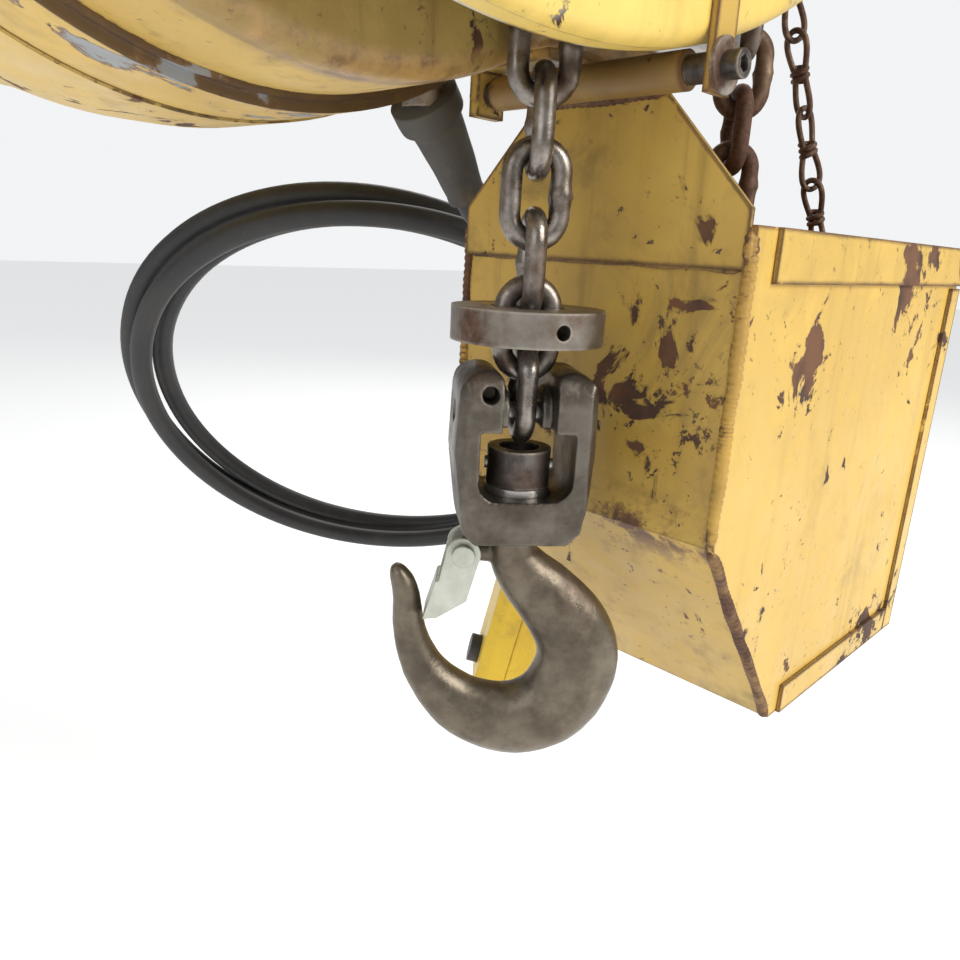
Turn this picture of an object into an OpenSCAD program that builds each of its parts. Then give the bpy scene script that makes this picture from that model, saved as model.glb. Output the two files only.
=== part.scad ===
// Electric chain hoist, one-ton class: motor and gear body under a top hook, eight-millimetre
// load chain with stop disc and swivel hook block, and a hinged sheet-steel chain container.
// Origin: where the support bears in the top hook's bowl. +X runs along the motor shaft towards
// the chain cover, +Y points from the load strand to the chain container, +Z is up.

/* [Chain] */
// wire diameter of the load chain
chain_d = 7.9; // [6:0.1:10]
// pitch of the load chain
chain_p = 24; // [18:0.5:30]
// outside width of a link
chain_w = 26; // [20:0.5:34]
// pockets on the load wheel
pockets = 9; // [5:1:10]
// angle of the links to the motor shaft at the load wheel
chain_yaw = 45; // [0:5:90]
// extra twist of each lower link
link_twist = 0.8; // [0:0.1:2]

/* [Body] */
// radius of the gear frame
frame_r = 165; // [120:1:200]
// radius of the motor housing
motor_r = 171; // [120:1:200]
// height of the load wheel's axis above the load chain's reference level
wheel_z = 150; // [120:1:180]
// length from the frame's front face to the end bell's end
body_l = 330; // [200:5:420]
// radius of the chain cover
cover_r = 160; // [120:1:180]
// thickness of cast walls
wall = 7; // [4:0.5:12]

/* [Gears] */
// module of the second reduction
mod_b = 2; // [1.5:0.25:3]
// teeth on the main gear
main_n = 80; // [60:1:100]
// teeth on the second pinion
pin_b_n = 12; // [11:1:20]
// module of the first reduction
mod_a = 1.5; // [1:0.25:2]
// teeth on the first gear
mid_n = 56; // [40:1:80]
// teeth on the motor pinion
pin_a_n = 12; // [11:1:20]

/* [Container] */
// inside face of the container towards the cover side
box_x1 = 65; // [50:1:90]
// face of the container towards the motor side
box_x0 = -80; // [-110:1:-60]
// front plate's distance from the load chain
box_y0 = 44; // [40:1:60]
// back wall's distance from the load chain
box_y1 = 290; // [240:1:320]
// level of the container's rim
box_top = -8.5; // [-20:0.5:10]
// level of the crease between front plate and sloping plate
box_crease = -130; // [-150:1:-100]
// level of the container's floor
box_floor = -238; // [-260:1:-200]
// sheet thickness
sheet_t = 2.5; // [1:0.5:4]
// outside radius of the hinge tube
tube_r = 6.8; // [5:0.1:9]
// level of the hinge tube's axis
tube_z = 42.3; // [38:0.1:46]

/* [Hook] */
// turn of the hook block about the load chain
block_yaw = 52; // [0:1:90]
// turn of the load hook about the load chain
hook_yaw = 45; // [0:1:359]
// radius of the hook shank
shank_r = 9.5; // [8:0.5:12]
// width of the hook block across its ears
block_w = 54; // [48:1:60]

/* [Pendant] */
// height of the push-button station
pend_h = 170; // [140:1:200]
// width of the push-button station
pend_w = 62; // [50:1:70]
// depth of the push-button station
pend_d = 44; // [36:1:56]
// diameter of the pendant cable
cable_d = 14; // [10:1:18]
// mean radius of the cable coil
coil_r = 178; // [140:1:200]

/* [Output] */
// which sub-part to build

/* [Hidden] */
$fn = 96;
saddle_z = 467.2;
wheel_r = pockets * 2 * chain_p / (2 * PI);
wheel_y = wheel_r;
motor_y = -65;
motor_z = 194;
face_x = -16;
seam_x = -68;
rim_x = -112;
end_x = face_x - body_l;
cover_y = -8;
cover_z = 186;
cover_x = 44;
low_r = 300;
low_y = -42;
low_z = 339;
lobe_r = 95;
run = 0.05;
main_r = mod_b * main_n / 2;
pin_b_r = mod_b * pin_b_n / 2;
mid_r = mod_a * mid_n / 2;
pin_a_r = mod_a * pin_a_n / 2;
// shaft centre distances, opened by 0.3 mm for backlash
dist_b = main_r + pin_b_r + 0.3;
dist_a = mid_r + pin_a_r + 0.3;
span = sqrt(pow(wheel_y - motor_y, 2) + pow(motor_z - wheel_z, 2));
base_a = atan2(motor_z - wheel_z, motor_y - wheel_y);
off_a = acos((dist_b * dist_b + span * span - dist_a * dist_a) / (2 * dist_b * span));
mid_dir = base_a - off_a;
mid_y = wheel_y + dist_b * cos(mid_dir);
mid_z = wheel_z + dist_b * sin(mid_dir);
motor_dir = atan2(motor_z - mid_z, motor_y - mid_y);
bolt_r = 3.2;
slack_top = 61.2;
strap_y = 38;
block_top = -60;
block_bot = -131;
pin_z = -81.3;
window_z0 = -113;
window_z1 = -86;
coil_c = [-252, 132, -136];
coil_n = [0.56, -0.585, -0.585];
pend_foot = [-185, 202, -357];
pend_tilt = 12;
pend_face = 224;

paint = [0.90, 0.74, 0.36];
paint_dull = [0.66, 0.52, 0.26];
steel = [0.42, 0.39, 0.35];
dark = [0.20, 0.18, 0.17];
bronze = [0.40, 0.34, 0.29];
zinc = [0.66, 0.68, 0.62];
black = [0.08, 0.08, 0.09];
yellow = [0.86, 0.70, 0.20];

// everything is drawn from the load chain's reference level, then hung below the saddle
module hang() { translate([0, 0, -saddle_z]) children(); }
// children drawn on +Z are laid along +X
module along_x(p) { translate(p) rotate([0, 90, 0]) children(); }
// a YZ outline extruded along +X from x
module slab(x, t) { translate([x, 0, 0]) rotate([90, 0, 90]) linear_extrude(t) children(); }

// one chain link on +Z, width on +X
module link(d, inner, w, bump = 0) {
  r = (w - d) / 2;
  s = inner - (w - 2 * d);
  for (k = [-1, 1]) translate([k * r, 0, -s / 2]) cylinder(h = s, r = d / 2, $fn = 32);
  for (k = [0, 1]) mirror([0, 0, k]) translate([0, 0, s / 2]) rotate([90, 0, 0])
    rotate_extrude(angle = 180, $fn = 48) translate([r, 0]) circle(d / 2, $fn = 32);
  if (bump > 0) translate([r, 0, -3]) cylinder(h = 6, r = d / 2 + bump, $fn = 32);
}
module load_link() { link(chain_d, chain_p + 0.4, chain_w, 0.5); }

// a straight strand: top link centre, number of links, turn of the first, twist per link
module strand(p, n, yaw, twist) {
  for (k = [0:n - 1]) translate([p[0], p[1], p[2] - k * chain_p])
    rotate([0, 0, yaw + 90 * (k % 2) + twist * k]) load_link();
}

// rings of an elliptic section along a flat path [x, z, half width, half depth]
function flat_ring(p, i, m) =
  let (a = p[max(i - 1, 0)], b = p[min(i + 1, len(p) - 1)],
       t = [b[0] - a[0], b[1] - a[1]] / norm([b[0] - a[0], b[1] - a[1]]))
  [for (j = [0:m - 1]) let (c = cos(360 * j / m), s = sin(360 * j / m))
    [p[i][0] + t[1] * p[i][2] * c, p[i][3] * s, p[i][1] - t[0] * p[i][2] * c]];
module forging(p, m = 20) {
  n = len(p);
  polyhedron(points = [for (i = [0:n - 1]) each flat_ring(p, i, m)],
    faces = concat(
      [for (i = [0:n - 2], j = [0:m - 1])
        [i * m + j, (i + 1) * m + j, (i + 1) * m + (j + 1) % m, i * m + (j + 1) % m]],
      [[for (j = [0:m - 1]) j]], [[for (j = [m - 1:-1:0]) (n - 1) * m + j]]), convexity = 6);
}

// a round tube along hand-chosen points, with a reference direction never along the path
function unit(v) = v / norm(v);
function ring(p, i, r, m, ref) =
  let (t = unit(p[min(i + 1, len(p) - 1)] - p[max(i - 1, 0)]), u = unit(cross(ref, t)),
       v = cross(t, u), q = is_list(r) ? r[i] : r)
  [for (j = [0:m - 1]) p[i] + q * (cos(360 * j / m) * u + sin(360 * j / m) * v)];
module tube_along(p, r, ref = [0, 0, 1], m = 12) {
  n = len(p);
  polyhedron(points = [for (i = [0:n - 1]) each ring(p, i, r, m, ref)],
    faces = concat(
      [for (i = [0:n - 2], j = [0:m - 1])
        [i * m + j, (i + 1) * m + j, (i + 1) * m + (j + 1) % m, i * m + (j + 1) % m]],
      [[for (j = [0:m - 1]) j]], [[for (j = [m - 1:-1:0]) (n - 1) * m + j]]), convexity = 6);
}

// spur gear outline with tooth centred on angle a0
module gear2d(n, m, a0) {
  r = n * m / 2;
  p = 360 / n;
  polygon([for (i = [0:n - 1], q = [[-0.30, -1.2], [-0.10, 0.85], [0.10, 0.85], [0.30, -1.2]])
    (r + q[1] * m) * [cos(a0 + (i + q[0]) * p), sin(a0 + (i + q[0]) * p)]]);
}

// ---------- body ----------
module cover_shape(inset = 0) {
  intersection() {
    translate([cover_y, cover_z]) circle(cover_r - inset, $fn = 180);
    translate([low_y, low_z]) circle(low_r - inset, $fn = 240);
  }
}
// radius against distance along +X, turned about the motor axis
module turned() { along_x([0, motor_y, motor_z]) rotate_extrude($fn = 180) children(); }

module chamber2d(gap) {
  translate([wheel_y, wheel_z + 2]) circle(lobe_r - wall - gap, $fn = 140);
  translate([motor_y, motor_z]) circle(frame_r - wall - gap, $fn = 180);
}
module gear_frame() color(paint_dull) difference() {
  union() {
    turned() {
      translate([0, seam_x]) square([frame_r, face_x - seam_x - 9]);
      translate([0, face_x - 9]) square([frame_r - 9, 9]);
      translate([frame_r - 9, face_x - 9]) circle(9);
    }
    slab(seam_x, face_x - seam_x - 0.5) {
      translate([wheel_y, wheel_z + 2]) circle(lobe_r, $fn = 140);
      translate([28, 55]) square([52, 30]);
    }
    translate([-60, -35, 330]) cube([43, 70, 32]);
    translate([-40, -35, 348]) cube([68, 70, 14]);
  }
  // gear chamber, open at the motor side
  slab(seam_x - 1, face_x - seam_x - 9) chamber2d(0);
  along_x([face_x - 14, wheel_y, wheel_z]) cylinder(h = 16, r = 26);
  for (x = [-52, -8], y = [-26, 26]) translate([x, y, 352]) cylinder(h = 12, r = 4);
  for (x = [-50, -32]) translate([x, 66, 50]) cylinder(h = 13.4, r = 4);
}

// plate that closes the gear chamber and carries the shafts
module gear_plate() color(steel) difference() {
  slab(seam_x, 8) chamber2d(0.2);
  along_x([seam_x - 1, wheel_y, wheel_z]) cylinder(h = 10, r = 26);
  along_x([seam_x - 1, mid_y, mid_z]) cylinder(h = 10, r = 12);
  along_x([seam_x - 1, motor_y, motor_z]) cylinder(h = 10, r = 26);
  for (z = [90, 290]) along_x([seam_x - 1, motor_y, z]) cylinder(h = 10, r = 12);
}

module motor_housing() color(paint) {
  difference() {
    turned() difference() {
      union() {
        translate([0, rim_x]) square([motor_r, seam_x - rim_x - 3]);
        translate([0, seam_x - 3]) square([motor_r - 4, 3]);
      }
      translate([-1, rim_x - 1]) square([motor_r - wall - 3, seam_x - rim_x + 2]);
    }
    translate([-87, 20, 25]) cylinder(h = 40, r = 9);
    translate([-90, 80, motor_z]) rotate([-90, 0, 0]) cylinder(h = 40, r = 15);
  }
  // threaded boss for the supply cable's gland
  translate([-90, 92, motor_z]) rotate([-90, 0, 0]) difference() {
    cylinder(h = 20, r = 16);
    translate([0, 0, -1]) cylinder(h = 22, r = 10.25);
  }
}

module motor_end_bell() color(paint) turned() {
  bell_shell();
  // webs that hold the stator
  for (q = [[-252, 34], [-172, 46]]) translate([118.2, q[0]]) square([q[1], 6]);
}
module bell_shell() difference() {
  polygon([[0, end_x], [96, end_x], [118, end_x + 5], [134, end_x + 14], [144, end_x + 27],
    [150, -280], [158, -240], [166, -200], [171, -160], [172, rim_x], [0, rim_x]]);
  polygon([[-1, end_x + 6], [94, end_x + 6], [112, end_x + 10], [127, end_x + 20],
    [137, end_x + 32], [143, -280], [151, -240], [159, -200], [164, -160], [165, rim_x + 1],
    [-1, rim_x + 1]]);
  for (r = [30:14:72]) translate([r, end_x - 1]) square([6, 4]);
}

module housing2d(inset) {
  cover_shape(8 + inset);
  translate([wheel_y, wheel_z + 2]) circle(lobe_r - inset, $fn = 140);
}
module chain_housing() color(paint_dull) difference() {
  union() {
    slab(face_x, 29.9 - face_x) difference() {
      housing2d(0);
      housing2d(6);
    }
    slab(25, 4.9) difference() {
      translate([wheel_y, wheel_z + 2]) circle(lobe_r, $fn = 140);
      cover_shape(14);
    }
  }
  // open below for both strands
  translate([face_x - 1, -34, 20]) cube([60, 230, 80]);
  translate([face_x - 1, -240, 20]) cube([60, 210, 46]);
  translate([face_x - 1, 122, 20]) cube([60, 32, 100]);
}

module chain_cover() color(paint) difference() {
  union() {
    slab(30, 8) cover_shape();
    slab(30, 14) cover_shape(7);
    intersection() {
      along_x([0, cover_y, cover_z]) rotate_extrude($fn = 180) union() {
        square([cover_r - 7, cover_x]);
        translate([cover_r - 7, cover_x - 7]) circle(7);
      }
      along_x([0, low_y, low_z]) rotate_extrude($fn = 240) union() {
        translate([0, 30]) square([low_r - 7, cover_x - 30]);
        translate([low_r - 7, cover_x - 7]) circle(7);
        translate([0, 30]) square([low_r, 7]);
      }
      translate([30, -200, 0]) cube([14, 400, 400]);
    }
  }
  slab(29, 9) cover_shape(14);
  for (a = [-20, 20, 60, 100, 140, 180, 220])
    along_x([36, cover_y + 138 * cos(a), cover_z + 138 * sin(a)]) cylinder(h = 10, r = 3.2);
  along_x([37, strap_y, 92]) cylinder(h = 9, r = 3.2);
  along_x([37, wheel_y, wheel_z]) cylinder(h = 2, r = 17);
}

module cap_screw(h) {
  cylinder(h = h, r = 3.2, $fn = 32);
  translate([0, 0, h]) difference() {
    cylinder(h = 5, r = 5, $fn = 32);
    translate([0, 0, 2.5]) cylinder(h = 4, r = 2.8, $fn = 6);
  }
}
module cover_screws() color(dark) {
  for (a = [-20, 20, 60, 100, 140, 180, 220])
    along_x([38, cover_y + 138 * cos(a), cover_z + 138 * sin(a)]) cap_screw(6);
  along_x([38, strap_y, 92]) cap_screw(10.5);
}

module suspension_yoke() color(paint_dull) difference() {
  union() {
    translate([-60, -34, 362]) cube([88, 68, 12]);
    for (x = [-27, 17]) translate([x, -22, 370]) cube([10, 44, 22]);
    translate([-27, -22, 384]) cube([54, 44, 13]);
  }
  translate([0, 0, 380]) cylinder(h = 20, r = shank_r + run);
  for (x = [-52, -8], y = [-26, 26]) translate([x, y, 360]) cylinder(h = 16, r = 4);
}

// hexagon bolts hold the yoke down and the hanger bracket up
module hex_bolt(h) {
  cylinder(h = h, r = 4, $fn = 32);
  translate([0, 0, h]) cylinder(h = 5, r = 6.5, $fn = 6);
}
module frame_bolts() color(dark) {
  for (x = [-52, -8], y = [-26, 26]) translate([x, y, 352]) hex_bolt(22);
  for (x = [-50, -32]) translate([x, 66, 63.4]) mirror([0, 0, 1]) hex_bolt(12.4);
}

module hanger_strap() color(paint) difference() {
  translate([cover_x, strap_y - 6.5, 33.5]) cube([3, 13, 68]);
  along_x([cover_x - 1, strap_y, tube_z]) cylinder(h = 7, r = bolt_r);
  along_x([cover_x - 1, strap_y, 92]) cylinder(h = 7, r = 3.2);
}

module hanger_bracket() color(paint_dull) difference() {
  union() {
    translate([-67.8, strap_y - 8, 33]) cube([5, 16, 22]);
    translate([-67.8, strap_y - 8, 51]) cube([43.8, 46, 4]);
  }
  along_x([-69, strap_y, tube_z]) cylinder(h = 7, r = bolt_r);
  for (x = [-50, -32]) translate([x, 66, 50]) cylinder(h = 6, r = 4);
}

module hinge_bolt() color(dark) {
  along_x([-73, strap_y, tube_z]) cylinder(h = cover_x + 4.7 + 73, r = bolt_r, $fn = 48);
  along_x([cover_x + 4.7, strap_y, tube_z]) difference() {
    cylinder(h = 6.35, r = 4.75, $fn = 48);
    translate([0, 0, 3]) cylinder(h = 6, r = 2.9, $fn = 6);
  }
}
module ring_on_bolt(x, h, r) {
  along_x([x, strap_y, tube_z]) difference() {
    cylinder(h = h, r = r, $fn = 64);
    translate([0, 0, -1]) cylinder(h = h + 2, r = bolt_r, $fn = 48);
  }
}
module hinge_washers() color(steel) ring_on_bolt(cover_x + 3.05, 1.6, 9.2);
module hinge_spacers() color(dark) {
  ring_on_bolt(34.4, cover_x - 34.5, 5);
  ring_on_bolt(-62.7, 4.6, 5);
}

module stator() color(steel) turned() translate([60, -262]) square([58, 110]);

// bearing rings share one node
module bearing(x, y, z, ro, ri, h) {
  along_x([x, y, z]) difference() {
    cylinder(h = h, r = ro, $fn = 72);
    translate([0, 0, -1]) cylinder(h = h + 2, r = ri + run, $fn = 72);
  }
}
module shaft_bearings() color(steel) {
  bearing(seam_x, wheel_y, wheel_z, 26, 12, 8);
  bearing(face_x - 12, wheel_y, wheel_z, 26, 12, 12);
  bearing(seam_x, mid_y, mid_z, 12, 6, 8);
  bearing(seam_x, motor_y, motor_z, 26, 10, 8);
}

module chain_guide() color(steel) difference() {
  translate([face_x, wheel_y - 34, 62]) cube([32, 68, 10]);
  along_x([face_x - 1, wheel_y, wheel_z]) cylinder(h = 34, r = wheel_r + 14);
}

// links on the wheel, drawn slightly slack so that neighbours keep clear
module wheel_link() { link(chain_d - 0.9, chain_p + 2.2, chain_w - 0.4); }
module wheel_chain() color(steel) {
  for (k = [0:8]) {
    a = 180 - 14 - k * 360 / (2 * pockets);
    translate([0, wheel_y + wheel_r * cos(a), wheel_z + wheel_r * sin(a)])
      rotate([a, 0, 0]) rotate([0, 0, chain_yaw + 90 * (k % 2)]) wheel_link();
  }
  for (k = [0:2]) translate([0, 2 * wheel_r, slack_top + (3 - k) * chain_p])
    rotate([0, 0, chain_yaw + 90 * ((k + 1) % 2)]) wheel_link();
}

// ---------- cable and pendant ----------
module strain_boot() color(dark) {
  p = [[-87, 20, 41], [-88, 25, 36], [-89.6, 32, 30], [-91, 38, 24], [-92.6, 45, 17], [-94, 51, 10],
    [-95, 57, 3]];
  difference() {
    tube_along(p, [15, 15, 13.5, 13, 12, 11, 10], [1, 0, 0], 24);
    turned() translate([0, -105]) square([motor_r + 0.3, 40]);
  }
}
module gland_nut() color(dark) difference() {
  translate([-87, 20, 36]) cylinder(h = 22, r = 9);
  translate([-87, 20, 30]) cylinder(h = 30, r = 6);
}
// lead from the boot into the coil, and from the coil to the station
lead_in = [[-95, 57, 3], [-98.2, 73.2, -11], [-101.5, 90.5, -24], [-103.8, 107.8, -35],
  [-106, 125, -45], [-107.2, 144.2, -54], [-108.5, 163.5, -62], [-109.8, 180.8, -68],
  [-111, 198, -72]];
lead_out = [[-116, 224, -96], [-119.8, 230.8, -106], [-126.5, 236.5, -117],
  [-135.2, 240.2, -128], [-144, 241, -138], [-151.8, 238.8, -149], [-156.5, 234.5, -161],
  [-158.2, 230.2, -174], [-159.4, 226.8, -190]];
module pendant_cable() color(black) {
  tube_along(lead_in, cable_d / 2);
  tube_along(lead_out, cable_d / 2, [0, 1, 0.2]);
}
module cable_coil() color(black) translate(coil_c)
  rotate([0, 90 - asin(coil_n[2] / norm(coil_n)), atan2(coil_n[1], coil_n[0])])
    rotate_extrude($fn = 120) translate([coil_r, 0]) {
      translate([-7, -18]) square([14, 36]);
      for (k = [-18, 18]) translate([0, k]) circle(7);
    }
// station frame: +X is the button side, +Z runs up the handle
module station() {
  translate(pend_foot) rotate([0, 0, pend_face]) rotate([0, -pend_tilt, 0]) children();
}
module shell_outline() intersection() {
  translate([-pend_d / 2, -pend_w / 2, 0]) cube([pend_d, pend_w, pend_h]);
  translate([0, 0, -1]) cylinder(h = pend_h + 2, r = 34);
  translate([0, 0, pend_h / 2]) rotate([90, 0, 0]) cylinder(h = 80, r = 87, center = true);
}
module button_hole(z) { translate([-1, 0, z]) rotate([0, 90, 0]) cylinder(h = 29, r = 11.05); }
module pendant_front() color(yellow) station() difference() {
  intersection() {
    shell_outline();
    translate([0, -50, -10]) cube([60, 100, 200]);
  }
  translate([-1, -24, 14]) cube([17, 48, pend_h - 28]);
  button_hole(22);
  button_hole(104);
}
module pendant_rear() color(yellow) station() difference() {
  intersection() {
    shell_outline();
    translate([-60, -50, -10]) cube([60, 100, 200]);
  }
  translate([-16, -24, 14]) cube([17, 48, pend_h - 28]);
}
module button(z) color(black) station() translate([6, 0, z]) rotate([0, 90, 0])
  cylinder(h = 24, r = 11);
module up_button() { button(104); }
module down_button() { button(22); }

// ---------- container ----------
box_line = [[box_y0, box_top], [box_y0, box_crease], [125, box_floor], [box_y1, box_floor],
  [box_y1, box_top]];
module container_wrap() color(paint_dull) difference() {
  slab(box_x0 + sheet_t, box_x1 - box_x0 - 2 * sheet_t) difference() {
    polygon(box_line);
    polygon([[box_y0 + sheet_t, box_top + 1], [box_y0 + sheet_t, box_crease + 0.8],
      [125 + 1.4, box_floor + sheet_t], [box_y1 - sheet_t, box_floor + sheet_t],
      [box_y1 - sheet_t, box_top + 1]]);
  }
}
module hanger_plate() color(paint_dull) translate([0, box_y0, 0]) rotate([90, 0, 0])
  linear_extrude(sheet_t) polygon([[-78, -24], [63, -24], [63, -3], [24.2, 36.5], [-39.2, 36.5],
    [-78, -3]]);
module side_panel(x) { slab(x, sheet_t) polygon(box_line); }
module container_side_right() color(paint) side_panel(box_x1 - sheet_t);
module container_side_left() color(paint_dull) side_panel(box_x0);
// folded flanges of the wrap lie on the side panels
module flange_set(x) slab(x, 2) {
  translate([60, box_top - 20]) square([box_y1 - 60, 20]);
  translate([box_y1 - 13, box_floor]) square([13, 208]);
  translate([134, box_floor]) square([box_y1 - 148, 15]);
}
module container_flanges() color(paint) {
  flange_set(box_x1);
  flange_set(box_x0 - 2);
}
module hinge_tube() color(paint_dull) difference() {
  along_x([-58, strap_y, tube_z]) cylinder(h = 92, r = tube_r);
  along_x([-59, strap_y, tube_z]) cylinder(h = 94, r = bolt_r + run);
}
stay_y = 218;
stay_z = -34;
module stay_bar() color(steel) along_x([box_x0 + sheet_t, stay_y, stay_z])
  cylinder(h = box_x1 - box_x0 - 2 * sheet_t, r = 4, $fn = 48);
module stay_link() color(steel) translate([13.4, stay_y, stay_z + 9.8])
  rotate([0, 0, 90]) link(5, 28, 22);
// small lock-link chain that holds the container level
stay_top = [-8, 158, 152];
stay_low = [14, stay_y, -14];
stay_n = 5;
module stay_chain() color(steel) {
  v = stay_low - stay_top;
  for (k = [0:stay_n - 1]) translate(stay_top + v * (k + 0.5) / stay_n)
    rotate([0, acos(v[2] / norm(v)) , atan2(v[1], v[0])]) rotate([0, 0, 90 * ((stay_n - k) % 2)])
      link(2.8, norm(v) / stay_n + 1, 13);
}
// links lying on the container's floor: x, y, height, lean, turn
pile = [[-20, 149, 0, 88, 20], [10, 150, 0, 84, 100], [-34, 176, 0, 90, 160], [24, 186, 0, 86, 50],
  [-6, 196, 0, 82, 80], [38, 214, 0, 90, 10], [-44, 222, 0, 85, 130], [6, 236, 0, 88, 170]];
module chain_pile() color(steel) for (q = pile)
  translate([q[0], q[1], box_floor + sheet_t + 7.8]) rotate([q[3], 0, q[4]]) load_link();

// ---------- drive ----------
module load_wheel() color(steel) difference() {
  along_x([0, wheel_y, wheel_z]) rotate_extrude($fn = 144) difference() {
    translate([12 + run, -15]) square([wheel_r + 3 - 12, 30]);
    translate([wheel_r - 12, -12.2]) square([40, 24.4]);
  }
  for (k = [0:pockets - 1]) translate([0, wheel_y, wheel_z]) rotate([k * 360 / pockets, 0, 0])
    translate([-20, wheel_r - 14, -7]) cube([40, 3, 14]);
}
module wheel_shaft() color(steel) along_x([seam_x + 0.2, wheel_y, wheel_z])
  cylinder(h = 38 - seam_x - 1, r = 12);
module main_gear() color(steel) slab(-46, 14) difference() {
  translate([wheel_y, wheel_z]) difference() {
    gear2d(main_n, mod_b, mid_dir);
    circle(12);
    for (k = [0:5]) rotate(k * 60) translate([46, 0]) circle(13);
  }
}
module mid_gear() color(steel) {
  slab(-46, 14) translate([mid_y, mid_z])
    gear2d(pin_b_n, mod_b, mid_dir + 180 + 180 / pin_b_n);
  slab(-58, 10) translate([mid_y, mid_z]) gear2d(mid_n, mod_a, motor_dir);
  along_x([seam_x + 0.2, mid_y, mid_z]) cylinder(h = 12, r = 6);
  along_x([-48.5, mid_y, mid_z]) cylinder(h = 3, r = 7);
}
module rotor() color(steel) {
  turned() translate([0, -262]) square([59, 110]);
  along_x([end_x + 14, motor_y, motor_z]) cylinder(h = seam_x - end_x - 14 + 8, r = 10);
  slab(-60, 14) translate([motor_y, motor_z])
    gear2d(pin_a_n, mod_a, motor_dir + 180 + 180 / pin_a_n);
}
module cooling_fan() color(dark) along_x([end_x + 20, motor_y, motor_z]) difference() {
  union() {
    cylinder(h = 12, r = 22);
    cylinder(h = 3, r = 92);
    for (k = [0:8]) rotate([0, 0, k * 40]) translate([20, -1.5, 2]) cube([70, 3, 18]);
  }
  translate([0, 0, -1]) cylinder(h = 14, r = 10);
}
module brake_disc() color(steel) along_x([-290, motor_y, motor_z]) difference() {
  cylinder(h = 8, r = 70);
  translate([0, 0, -1]) cylinder(h = 10, r = 10);
}

// ---------- load strand and block ----------
strand_top = 142.5;
module load_chain() color(steel) strand([0, 0, strand_top], 10, chain_yaw, link_twist);
module slack_chain() color(steel) strand([0, 2 * wheel_r, slack_top], 8, chain_yaw, 0);
module stop_disc() color(steel) translate([0, 0, -54]) difference() {
  cylinder(h = 12.7, r = 29);
  for (a = [50, 140]) rotate([0, 0, a]) translate([-14, -5, -1]) cube([28, 10, 15]);
  translate([0, 0, 6]) rotate([0, 90, -22]) cylinder(h = 40, r = 2.75);
}

module block_frame() { rotate([0, 0, block_yaw]) children(); }
module hook_block() color(steel) block_frame() difference() {
  union() {
    intersection() {
      translate([0, 30, 0]) rotate([90, 0, 0]) linear_extrude(60) {
        polygon([[-block_w / 2 + 1, -73], [-block_w / 2, -96], [-23, block_bot + 5],
          [-18, block_bot], [18, block_bot], [23, block_bot + 5], [block_w / 2, -96],
          [block_w / 2 - 1, -73]]);
        for (k = [-1, 1]) translate([k * 16.5, -73]) circle(9.5);
      }
      slab(-40, 80) {
        polygon([[-20, -74], [-20, -100], [-17, block_bot], [17, block_bot], [20, -100],
          [20, -74]]);
        translate([-8, -74]) square([16, 14]);
        for (k = [-1, 1]) translate([k * 8, -74]) circle(12.5);
      }
      translate([0, 0, -140]) cylinder(h = 90, r = 30.5);
    }
  }
  // slot between the ears, stepped round the pin bosses
  difference() {
    translate([-10, -30, -100]) cube([20, 60, 50]);
    for (k = [-1, 1]) translate([k * 8.4 - 2.1, 0, pin_z]) rotate([0, 90, 0])
      cylinder(h = 4.2, r = 11);
  }
  // window for the hook nut
  translate([-18, -30, -105]) cube([36, 60, 105 + window_z1]);
  translate([-10, -30, window_z0]) cube([20, 60, 12]);
  translate([0, 0, window_z0]) cylinder(h = 10, r = 13.4);
  for (k = [-1, 1]) translate([k * 10, 30, window_z0 + 8]) rotate([90, 0, 0])
    cylinder(h = 60, r = 8);
  translate([0, 0, block_bot - 1]) cylinder(h = 30, r = shank_r + run);
  translate([-40, 0, pin_z]) rotate([0, 90, 0]) cylinder(h = 80, r = 4 + run);
  translate([-15, -30, -72]) rotate([-90, 0, 0]) cylinder(h = 20, r = 3.2);
}
module chain_pin() color(steel) block_frame() translate([-24, 0, pin_z]) rotate([0, 90, 0])
  cylinder(h = 48, r = 4);
module thrust_bearing() color(steel) translate([0, 0, window_z0]) difference() {
  cylinder(h = 3, r = 13);
  translate([0, 0, -1]) cylinder(h = 5, r = shank_r + run);
}

// hook forging hung from its seat at the origin: x, z, half width, half depth
hook_path = [[0, 4, 9.4, 9.4], [0, -5, 9.6, 9.6], [1, -11, 10.4, 10], [5, -17, 11.8, 10.5],
  [11, -23, 13.4, 11], [19, -31, 15, 11.5], [26, -40, 16.4, 12], [30, -50, 17.3, 12.3],
  [30, -60, 17.7, 12.5], [27, -69, 17.9, 12.5], [22, -77, 17.8, 12.4], [15, -82.5, 17.4, 12.2],
  [6, -85.5, 16.8, 12], [-3, -85.5, 15.8, 11.6], [-12, -83, 14.6, 11], [-20, -79, 13.2, 10.4],
  [-27, -73, 11.4, 9.6], [-33, -66, 9.6, 8.8], [-37.5, -58, 8.2, 8], [-40.5, -49, 7.2, 7.2],
  [-42, -41, 6.6, 6.4], [-42.6, -33, 6, 5.8], [-43.6, -27, 5.4, 5.2], [-45.4, -22, 4.6, 4.6],
  [-47.2, -18.6, 3.4, 3.6], [-48.4, -16.8, 1.6, 1.8]];
latch_x = -20;
latch_z = -8;
module hook_forging() {
  difference() {
    union() {
      forging(hook_path);
      cylinder(h = 18 + 2.9, r = shank_r);
      cylinder(h = 36, r = 8);
      translate([latch_x, 5, latch_z]) rotate([90, 0, 0]) cylinder(h = 10, r = 5.5);
      translate([latch_x, -5, latch_z - 4]) cube([14, 10, 8]);
    }
    translate([latch_x, 20, latch_z]) rotate([90, 0, 0]) cylinder(h = 40, r = 2.5);
  }
}
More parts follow.
